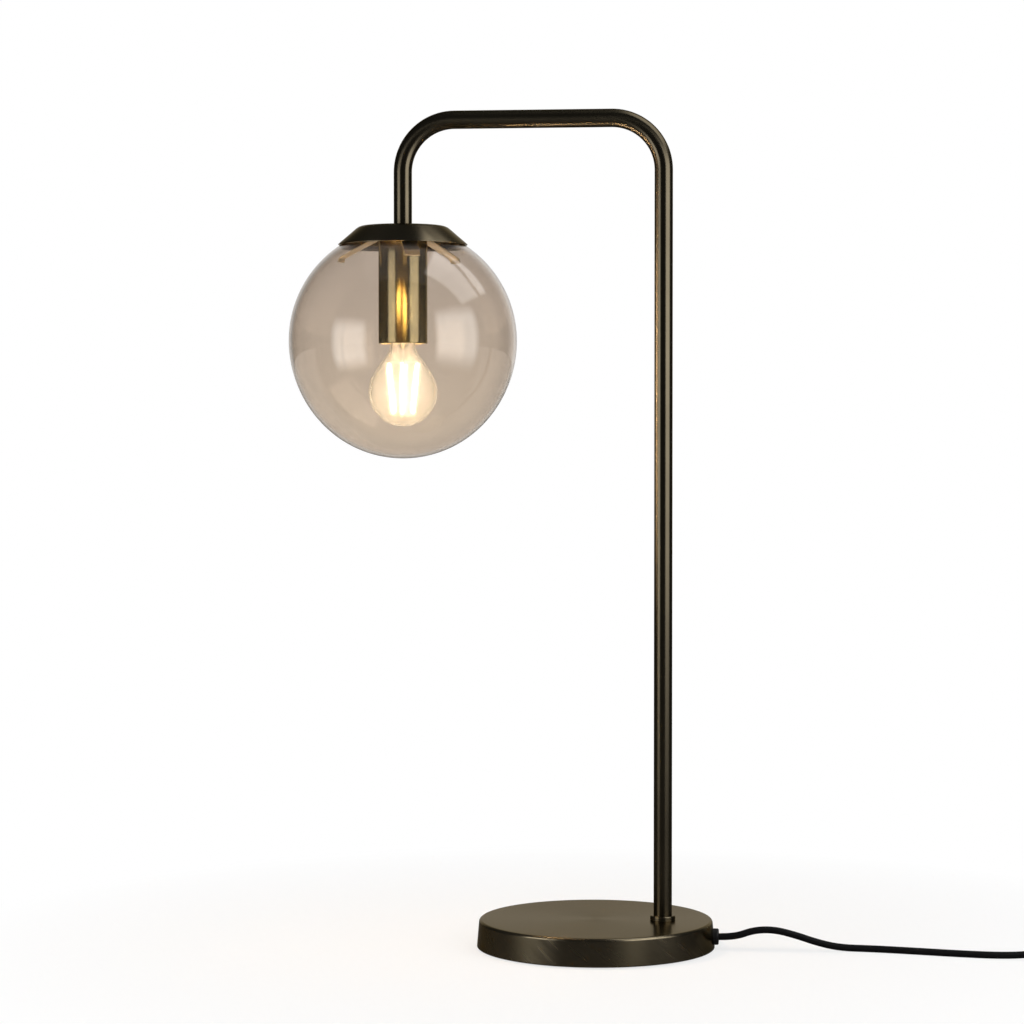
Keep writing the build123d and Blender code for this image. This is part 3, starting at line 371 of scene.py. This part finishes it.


# Pale, rough brass for the sleeve's lip: painted light of the bulb
lip_painted_light = plain_metal("lip_painted_light", (0.88, 0.76, 0.50), rough=0.85)
spring_brass = plain_metal("spring_brass_look", (0.62, 0.56, 0.42), rough=0.33)
contact_brass = plain_metal("contact_brass_look", (0.62, 0.48, 0.25), rough=0.25)
zinc = plain_metal("zinc_look", (0.55, 0.55, 0.53), rough=0.32)
nickel = plain_metal("nickel_look", (0.66, 0.64, 0.60), rough=0.2)
iron = plain_metal("iron_look", (0.08, 0.08, 0.085), rough=0.6)
pad = plastic("pad_look", (0.03, 0.03, 0.03), rough=0.8, grain=600.0, depth=0.4)
cord_black = plastic("cord_look", (0.005, 0.005, 0.0055), rough=0.5, gloss=0.12)
moulded_black = plastic("moulded_look", (0.008, 0.008, 0.0085), rough=0.38, gloss=0.25)
case_black = plastic("case_look", CASE_COLOUR, rough=0.42, grain=900.0, depth=0.3)
rocker_black = plastic("rocker_look", (0.010, 0.010, 0.011), rough=0.36, grain=1500.0, depth=0.03)
pin_look = sleeved_pin("pin_look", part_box("plug_body")[0].x - PIN_SLEEVE)
thermoset = plastic("thermoset_look", (0.02, 0.018, 0.017), rough=0.3)
globe_look = clear_glass(
    "globe_look", colour=(0.80, 0.715, 0.62, 1.0), edge=(0.76, 0.66, 0.565, 1.0),
    high=(0.685, 0.615, 0.55, 1.0),
)
bulb_look = clear_glass(
    "bulb_look", colour=(0.99, 0.98, 0.96, 1.0), edge=(0.97, 0.95, 0.91, 1.0), rough=0.22, glow=0.05
)
filament_look = Shader(
    "filament_look", Base_Color=(0.98, 0.72, 0.30, 1.0), Roughness=0.6,
    Emission_Color=(1.0, 0.87, 0.66, 1.0), Emission_Strength=230.0,
).mat

# Nodes that aren't named here are zinc
looks = {
    "base_shell": base_brass, "stem_collar": foot_brass, "stem_tube": tube_brass, "shade_cap": head_brass,
    "holder_sleeve": sleeve_brass, "globe_clips": spring_brass, "globe": globe_look, "bulb_glass": bulb_look,
    "bulb_stem": bulb_look, "base_weight": iron, "base_pad": pad, "bulb_cap": nickel, "plug_pins": pin_look,
    "holder_shell": contact_brass, "holder_contact": contact_brass, "holder_terminals": contact_brass,
    "bulb_tip": contact_brass, "switch_contacts": contact_brass, "led_filaments": filament_look,
    "cord_bush": moulded_black, "bush_nut": moulded_black, "switch_base": case_black,
    "switch_cover": case_black, "switch_rocker": rocker_black, "plug_body": case_black,
    "holder_cap": thermoset, "holder_body": thermoset, "bulb_insulator": thermoset, "coil_tie": case_black,
    "inner_flex": cord_black, "cord_run": cord_black, "cord_link": cord_black, "cord_coil": cord_black,
    "cord_tail": cord_black,
}
for name, node in nodes.items():
    set_material(node, looks.get(name, zinc))


# Turned and bent metal

# The two points between the base's rounded edges keep the shading of its side flat
shell = lathe(
    "shell",
    [(0, 18.5), (40, 18.5), (68, 18.5)] + arc(74.661, 16.5, 2, 90, 4.79, 14)
    + [(76.711, 16.0), (77.945, 1.6)] + arc(77.66, 0.94, 0.34, 4.79, -90, 4)
    + [(76.5, 0.6), (75.2, 16.0)] + arc(74.1, 16.0, 1.0, 4, 90, 4) + [(0, 17.0)],
    steps=256, closed=False,
)
place(shell, "lamp", "antique_brass", base_brass, "base_shell")

collar = lathe(
    "collar",
    [(6.03, 18.5), (8.25, 18.5)] + arc(7.55, 20.8, 0.7, 0, 90, 6) + arc(6.4, 21.13, 0.37, 90, 180, 4),
    steps=96, x=STEM_X,
)
place(collar, "lamp", "antique_brass", foot_brass, "stem_collar")

UP, LEFT, DOWN = 0.5 * math.pi, math.pi, 1.5 * math.pi


def straight(start, end, angle, steps):
    """Stations of a straight run of the tube, without its first."""
    (x, z), (end_x, end_z) = start, end
    shares = [i / steps for i in range(1, steps + 1)]
    return [((x + (end_x - x) * share, z + (end_z - z) * share), angle) for share in shares]


def bend(cx, start, steps=24):
    """Stations of a quarter bend of the tube about x = cx, without its first, from an angle in degrees on."""
    out = []
    for i, point in enumerate(arc(cx, ARM_Z - BEND_R, BEND_R, start, start + 90, steps)):
        out.append((point, math.radians(start + 90 * i / steps) + UP))
    return out[1:]


line = [((STEM_X, BASE_TOP), UP)]
line += straight((STEM_X, BASE_TOP), (STEM_X, ARM_Z - BEND_R), UP, 60)
line += bend(STEM_X - BEND_R, 0)
line += straight((STEM_X - BEND_R, ARM_Z), (HEAD_X + BEND_R, ARM_Z), LEFT, 20)
line += bend(HEAD_X + BEND_R, 90)
line += straight((HEAD_X, ARM_Z - BEND_R), (HEAD_X, CAP_TOP), DOWN, 8)
tube = bent_tube("tube", line, TUBE_R, TUBE_BORE_R)
place(tube, "lamp", "antique_brass", tube_brass, "stem_tube")

cap = lathe(
    "cap",
    [(5.15, 473.2), (14, 473.2)] + arc(25.63, 465.2, 8, 90, 49.27, 12)
    + arc(42.19, 461.1, 0.3, 49.27, -90, 5) + arc(41.25, 461.05, 0.25, -90, -130.7, 3)
    + arc(25.63, 465.2, 6.8, 49.27, 90, 10) + [(14, 472), (5.15, 472)],
    steps=192, x=HEAD_X,
)
place(cap, "lamp", "antique_brass", head_brass, "shade_cap")

sleeve = lathe(
    "sleeve",
    [(5.15, 466), (10, 466)] + arc(14.1, 464, 2, 90, 0, 8) + [(16.1, 430)]
    + arc(15.6, 396.5, 0.5, 0, -90, 5) + [(14.5, 396)] + arc(13.8, 396.3, 0.3, -90, -180, 4)
    + [(13.5, 397), (15.3, 397), (15.3, 465.2), (5.15, 465.2)],
    steps=128, x=HEAD_X,
)
place(sleeve, "lamp", "antique_brass", sleeve_brass, "holder_sleeve")

# The inner part of the sleeve's lower lip gets a pale, rough brass: painted light of the bulb on it
LIP_TOP = 0.3969
LIP_R = 0.0145
sleeve.data.materials.append(lip_painted_light)
for face in sleeve.data.polygons:
    if face.center.z < LIP_TOP and math.hypot(face.center.x - HEAD_X, face.center.y) < LIP_R:
        face.material_index = 1


# Glass, with sizes in millimetres as in the profiles

GLOBE_Z = 397.75            # middle of the globe
GLOBE_R = 75.0
GLOBE_SAG = 2.2             # how much deeper than a ball it is below its middle
GLOBE_WALL = 1.9
MOUTH_OUT = 59.21           # degrees above the middle where the outside ends
MOUTH_IN = 60.41            # and the inside
RIM_Z = GLOBE_Z + 64        # middle of the mouth's rounded rim
RIM_R = 0.5
STRETCH = GLOBE_SAG / (2 - math.sqrt(2))


def globe_side(inset, mouth):
    """The globe's side, from above its lowest point to its mouth."""
    lower = arc(0, GLOBE_Z - STRETCH, GLOBE_R + GLOBE_SAG - STRETCH - inset, -90, -45, 40)
    middle = arc(-STRETCH, GLOBE_Z, GLOBE_R + STRETCH - inset, -45, 0, 40)
    upper = arc(0, GLOBE_Z, GLOBE_R - inset, 0, mouth, 56)
    return lower[1:] + middle[1:] + upper[1:]


globe_low = GLOBE_Z - GLOBE_R - GLOBE_SAG
globe = lathe(
    "globe_glass",
    [(0, globe_low)] + globe_side(0, MOUTH_OUT) + arc(38.13, RIM_Z, RIM_R, MOUTH_OUT, 90, 5)
    + arc(36.34, RIM_Z, RIM_R, 90, 240.4, 8) + globe_side(GLOBE_WALL, MOUTH_IN)[::-1]
    + [(0, globe_low + GLOBE_WALL)],
    steps=224, x=HEAD_X, closed=False, sharp=60,
)
place(globe, "globe", "globe_glass", globe_look, "globe")

BULB_Z = 364.2              # middle of the ball
BULB_R = 22.5
BULB_NECK_R = 7.9
BULB_NECK_TOP = BULB_Z + 35.1
BULB_WALL = 0.9
SHOULDER = 35               # degrees above the middle where the ball turns into the neck
SHOULDER_R = 14


def bulb_side(inset):
    """The bulb's side, from above its lowest point to the end of its neck."""
    ball, neck = BULB_R - inset, BULB_NECK_R - inset
    turn = math.radians(SHOULDER)
    corner = ball * math.sin(turn) + (ball * math.cos(turn) - neck) / math.tan(turn)
    middle = BULB_Z + corner + SHOULDER_R * math.tan(turn / 2)
    side = arc(0, BULB_Z, ball, -90, SHOULDER, 60)[1:]
    side += arc(neck + SHOULDER_R, middle, SHOULDER_R, 180 + SHOULDER, 180, 12)
    return side + [(neck, BULB_NECK_TOP)]


bulb_low = BULB_Z - BULB_R
bulb = lathe(
    "bulb_envelope",
    [(0, bulb_low)] + bulb_side(0) + bulb_side(BULB_WALL)[::-1] + [(0, bulb_low + BULB_WALL)],
    steps=128, x=HEAD_X, closed=False, sharp=60,
)
place(bulb, "bulb", "bulb_glass", bulb_look, "bulb_glass")
globe.visible_shadow = False
bulb.visible_shadow = False


# Cord: from the base to the switch, from there to the coil, the coil in two layers, and on to the plug

run = [
    (0.08068, 0, 0.008), (0.09108, 0, 0.008), (0.103, 0, 0.0126), (0.116, 0, 0.0134), (0.130, 0, 0.0102),
    (0.144, 0, 0.0056), (0.159, 0, 0.0023), (0.181, -0.0016, 0.0023), (0.207, -0.0068, 0.0023),
    (0.235, -0.0132, 0.0023), (0.262, -0.0170, 0.0023), (0.282, -0.018, 0.0036), (0.297, -0.018, 0.008),
    (0.311, -0.018, 0.008),
]
link = [(0.367, -0.018, 0.008), (0.380, -0.018, 0.008), (0.394, -0.018, 0.00325), (0.4054, -0.018, 0.00325)]
COIL_X, COIL_Y = 0.410, 0.0196375
COIL_Z = 0.00325            # middle of the cord in the lower layer
COIL_R = 0.0187             # the innermost turn
TURNS = 3.75                # in each layer
PITCH = 0.00505             # from turn to turn and from layer to layer
TURN_STEPS = 24
coil = []
for i in range(int(2 * TURNS * TURN_STEPS) + 1):
    turn = i / TURN_STEPS
    r = COIL_R + PITCH * abs(turn - TURNS)
    climb = min(max(2 * (turn - TURNS) + 0.5, 0), 1)
    z = COIL_Z + PITCH * climb**2 * (3 - 2 * climb)
    a = math.radians(360 * turn - 90)
    coil.append((COIL_X + r * math.cos(a), COIL_Y + r * math.sin(a), z))
tail = [
    (0.4054, 0.057275, 0.0083), (0.3944, 0.057275, 0.0083), (0.3814, 0.061275, 0.007),
    (0.3644, 0.061275, 0.007),
]

curve = bpy.data.curves.new("cord", "CURVE")
curve.dimensions = "3D"
curve.bevel_depth = 1.0    # times each point's radius, which also goes into the box of the curve
curve.bevel_resolution = 6
curve.resolution_u = 5
curve.use_fill_caps = True
spline = curve.splines.new("NURBS")
route = run + link + coil + tail
spline.points.add(len(route) - 1)
for point, co in zip(spline.points, route):
    point.co = (*co, 1.0)
    point.radius = CORD_R
spline.order_u = 3
spline.use_endpoint_u = True
cord = bpy.data.objects.new("cord", curve)
scene.collection.objects.link(cord)
place(cord, "lamp", "cord_black", cord_black, "cord_run", "cord_link", "cord_coil", "cord_tail")


# Floor: white to the camera and through glass, with some of its own shading near the base. In a mirror it is
# dark, apart from what glass shows of it behind the lamp.

FLOOR_R = 6.0
FLOOR_Z = -0.0002           # just under the base
MIRRORED_FLOOR = 0.05
MIRRORED_SHARE = 0.9

bpy.ops.mesh.primitive_circle_add(vertices=96, radius=FLOOR_R, fill_type="NGON", location=(0, 0, FLOOR_Z))
floor = bpy.context.object
floor.name = "floor"
paper = Shader("floor_look", Base_Color=(0.86, 0.86, 0.86, 1.0), Roughness=0.9, Specular_IOR_Level=0.0)
on_floor = paper.coords()
from_base = paper.add("ShaderNodeVectorMath", {0: on_floor}, operation="LENGTH").outputs["Value"]
whiteness = paper.spread(from_base, 0.08, 0.45, 0.72, 1.0)
path = paper.add("ShaderNodeLightPath").outputs
mirrored = paper.math("MINIMUM", path["Glossy Depth"], 1.0)
behind = paper.spread(paper.split(on_floor)[1], 0.0, 0.15, 0.0, 1.0)
open_way = paper.math("MAXIMUM", paper.math("SUBTRACT", 1.0, mirrored), behind)
through = paper.math("MULTIPLY", path["Is Transmission Ray"], open_way)
seen = paper.math("MULTIPLY", whiteness, paper.math("MAXIMUM", path["Is Camera Ray"], through))
dark = paper.math("MULTIPLY", mirrored, paper.math("SUBTRACT", 1.0, seen))
strength = paper.spread(dark, 0.0, 1.0, 1.0, MIRRORED_FLOOR)
white = paper.add("ShaderNodeEmission", {"Color": (1, 1, 1, 1), "Strength": strength})
share = paper.math("MAXIMUM", seen, paper.math("MULTIPLY", mirrored, MIRRORED_SHARE))
mixed = paper.add("ShaderNodeMixShader", {0: share, 1: paper.bsdf.outputs[0], 2: white.outputs[0]})
paper.tree.links.new(mixed.outputs[0], paper.tree.nodes["Material Output"].inputs["Surface"])
set_material(floor, paper.mat)


# World: white to the camera and through glass, grey in a mirror behind the lamp, and dim elsewhere

BACK_AND_UP = (0, 0.7071, 0.7071)
DIM, LESS_DIM = 0.06, 0.14
GREY = 0.56

world = bpy.data.worlds.new("studio")
scene.world = world
world.use_nodes = True
world.node_tree.nodes.clear()
sky = Graph(world.node_tree)
path = sky.add("ShaderNodeLightPath").outputs
way = sky.add("ShaderNodeTexCoord").outputs["Generated"]
backward = sky.split(way)[1]
unmirrored = sky.math("LESS_THAN", path["Glossy Depth"], 0.5)
open_way = sky.math("MAXIMUM", sky.spread(backward, 0.8, 0.95, 0.0, 1.0), unmirrored)
through = sky.math("MULTIPLY", path["Is Transmission Ray"], open_way)
seen = sky.math("MAXIMUM", path["Is Camera Ray"], through)
behind = sky.spread(backward, 0.7, 0.95, 0.0, 1.0)
mirrored = sky.math("MULTIPLY", path["Is Glossy Ray"], behind)
slope = sky.add("ShaderNodeVectorMath", {0: way, 1: BACK_AND_UP}, operation="DOT_PRODUCT").outputs["Value"]
strength = sky.spread(slope, 0.85, 1.0, DIM, LESS_DIM)
dim = sky.add("ShaderNodeBackground", {"Color": (0.9, 0.95, 1.0, 1), "Strength": strength})
grey = sky.add("ShaderNodeBackground", {"Color": (1.0, 0.98, 0.96, 1), "Strength": GREY})
white = sky.add("ShaderNodeBackground", {"Color": (1, 1, 1, 1), "Strength": 1.0})
room = sky.add("ShaderNodeMixShader", {0: mirrored, 1: dim.outputs[0], 2: grey.outputs[0]})
both = sky.add("ShaderNodeMixShader", {0: seen, 1: room.outputs[0], 2: white.outputs[0]})
sky.add("ShaderNodeOutputWorld", {"Surface": both.outputs[0]})


# Lights

BOTH_WALLS = 3.5            # a ray that has crossed more glass faces than this has left the globe again


def light_only(lamp, obj):
    """Let a lamp light one object alone, with nothing else in its way."""
    lit_only = bpy.data.collections.new(lamp.name)
    lit_only.objects.link(obj)
    lamp.light_linking.receiver_collection = lit_only
    lamp.light_linking.blocker_collection = lit_only
    lamp.visible_transmission = False


def softbox(
    name, location, target, width, height, radiance, fades=(0.1, 0.1, 0.1, 0.1), glossy=True,
    colour=(1, 1, 1), only=None,
):
    """A rectangular lamp turned towards a point. Its light fades at the left, right, lower and upper edge.

    It isn't seen straight through both walls of the globe. If only is given, it lights that object alone.
    """
    data = bpy.data.lights.new(name, "AREA")
    data.shape = "RECTANGLE"
    data.size = width
    data.size_y = height
    data.color = colour
    data.energy = radiance * width * height * math.pi
    data.use_nodes = True
    panel = Graph(data.node_tree)
    place_on = panel.split(panel.add("ShaderNodeNewGeometry").outputs["Parametric"])
    edges = []
    for share, near, far in ((place_on[0], *fades[:2]), (place_on[1], *fades[2:])):
        rise = panel.spread(share, 0.0, near, 0.0, 1.0, interpolation_type="SMOOTHSTEP")
        fall = panel.spread(share, 1.0, 1.0 - far, 0.0, 1.0, interpolation_type="SMOOTHSTEP")
        edges.append(panel.math("MULTIPLY", rise, fall))
    path = panel.add("ShaderNodeLightPath").outputs
    crossed = panel.math("GREATER_THAN", path["Transmission Depth"], BOTH_WALLS)
    unmirrored = panel.math("LESS_THAN", path["Glossy Depth"], 0.5)
    hidden = panel.math("MULTIPLY", crossed, unmirrored)
    shown = panel.math("SUBTRACT", 1.0, hidden)
    strength = panel.math("MULTIPLY", panel.math("MULTIPLY", *edges), shown)
    panel.tree.links.new(strength, panel.tree.nodes["Emission"].inputs["Strength"])
    lamp = bpy.data.objects.new(name, data)
    lamp.location = location
    lamp.rotation_mode = "QUATERNION"
    lamp.rotation_quaternion = (Vector(target) - Vector(location)).to_track_quat("-Z", "Y")
    lamp.visible_glossy = glossy
    lamp.visible_camera = False
    scene.collection.objects.link(lamp)
    if only:
        light_only(lamp, only)


softbox(
    "softbox_left", (-0.644, -0.50, 0.36), (HEAD_X, 0, 0.38), width=0.56, height=0.66, radiance=3.0,
    fades=(0.2, 0.2, 0.33, 0.3),
)
softbox(
    "softbox_right", (0.52, -0.316, 0.43), (HEAD_X, 0, 0.41), width=0.70, height=0.80, radiance=3.0,
    fades=(0.15, 0.2, 0.4, 0.25),
)
softbox("softbox_high", (0.41, 0.07, 1.075), (HEAD_X, 0, 0.40), width=0.70, height=0.70, radiance=1.9)
softbox("top_fill", (0.0, 0.1, 2.2), (0, 0.1, 0), width=2.4, height=2.4, radiance=0.6, glossy=False)

# Low light on the side of the base
LOW_FADES = (0.45, 0.45, 0.4, 0.4)
LOW_COLOUR = (1.0, 0.98, 0.86)
for name, location, radiance in (
    ("low_left", (-0.43, -0.234, -0.02), 0.8),
    ("low_right", (0.29, -0.39, -0.02), 0.5),
):
    softbox(
        name, location, (0, 0, 0.01), width=0.44, height=0.18, radiance=radiance, fades=LOW_FADES,
        colour=LOW_COLOUR, only=shell,
    )

# The bulb's light: inside the globe, on the stem, and mirrored by the globe's front onto the sleeve
glow = bpy.data.lights.new("bulb_glow", "POINT")
glow.energy = 2.6
glow.color = (1.0, 0.68, 0.38)
glow.shadow_soft_size = 0.015
glow_lamp = bpy.data.objects.new("bulb_glow", glow)
glow_lamp.location = (HEAD_X, 0, BULB_Z / 1000)
glow_lamp.visible_camera = False
glow_lamp.visible_transmission = False
scene.collection.objects.link(glow_lamp)
not_lit = bpy.data.collections.new("not_lit")
not_lit.objects.link(bulb)
not_lit.collection_objects[0].light_linking.link_state = "EXCLUDE"
glow_lamp.light_linking.receiver_collection = not_lit

GLOW_FADES = (0.35, 0.35, 0.5, 0.5)
STEM_GLOW_X, STEM_GLOW_Z = HEAD_X + 0.085, 0.372
FLAME_Y = -0.062            # about at the globe's front
HALO_COLOUR = (1.0, 0.42, 0.10)
FLAME_COLOUR = (1.0, 0.68, 0.20)
softbox(
    "stem_glow", (STEM_GLOW_X, 0, STEM_GLOW_Z), (STEM_X, 0, STEM_GLOW_Z), width=0.06, height=0.34,
    radiance=4.2, fades=GLOW_FADES, colour=(1.0, 0.80, 0.66), only=tube,
)
for name, side, level, width, height, radiance, colour in (
    ("sleeve_halo", 0.004, 0.444, 0.070, 0.12, 3.2, HALO_COLOUR),
    ("sleeve_flame_left", -0.010, 0.4235, 0.026, 0.040, 10.0, FLAME_COLOUR),
    ("sleeve_flame_right", 0.018, 0.4185, 0.026, 0.054, 10.0, FLAME_COLOUR),
):
    location = (HEAD_X + side, FLAME_Y, level)
    target = (HEAD_X + side, 0, level)
    softbox(name, location, target, width, height, radiance, GLOW_FADES, colour=colour, only=sleeve)


# Camera: its place round the lamp, then its turn to the side and its tilt

AZIMUTH = math.radians(4.495)
YAW = math.radians(-1.708)
TILT = math.radians(-1.587)
DISTANCE = 1.845677
EYE_Z = 0.336701

ahead = Vector((-math.sin(AZIMUTH), math.cos(AZIMUTH), 0))
right = Vector((math.cos(AZIMUTH), math.sin(AZIMUTH), 0))
upright = Vector((0, 0, 1))
eye = Vector((math.sin(AZIMUTH) * DISTANCE, -math.cos(AZIMUTH) * DISTANCE, EYE_Z))
ahead, right = (
    ahead * math.cos(YAW) + right * math.sin(YAW),
    right * math.cos(YAW) - ahead * math.sin(YAW),
)
ahead, up = (
    ahead * math.cos(TILT) + upright * math.sin(TILT),
    upright * math.cos(TILT) - ahead * math.sin(TILT),
)
lens = bpy.data.cameras.new("camera")
lens.lens = 99.15
lens.sensor_width = 36.0
camera = bpy.data.objects.new("camera", lens)
camera.matrix_world = Matrix.Translation(eye) @ Matrix((right, up, -ahead)).transposed().to_4x4()
scene.collection.objects.link(camera)
scene.camera = camera
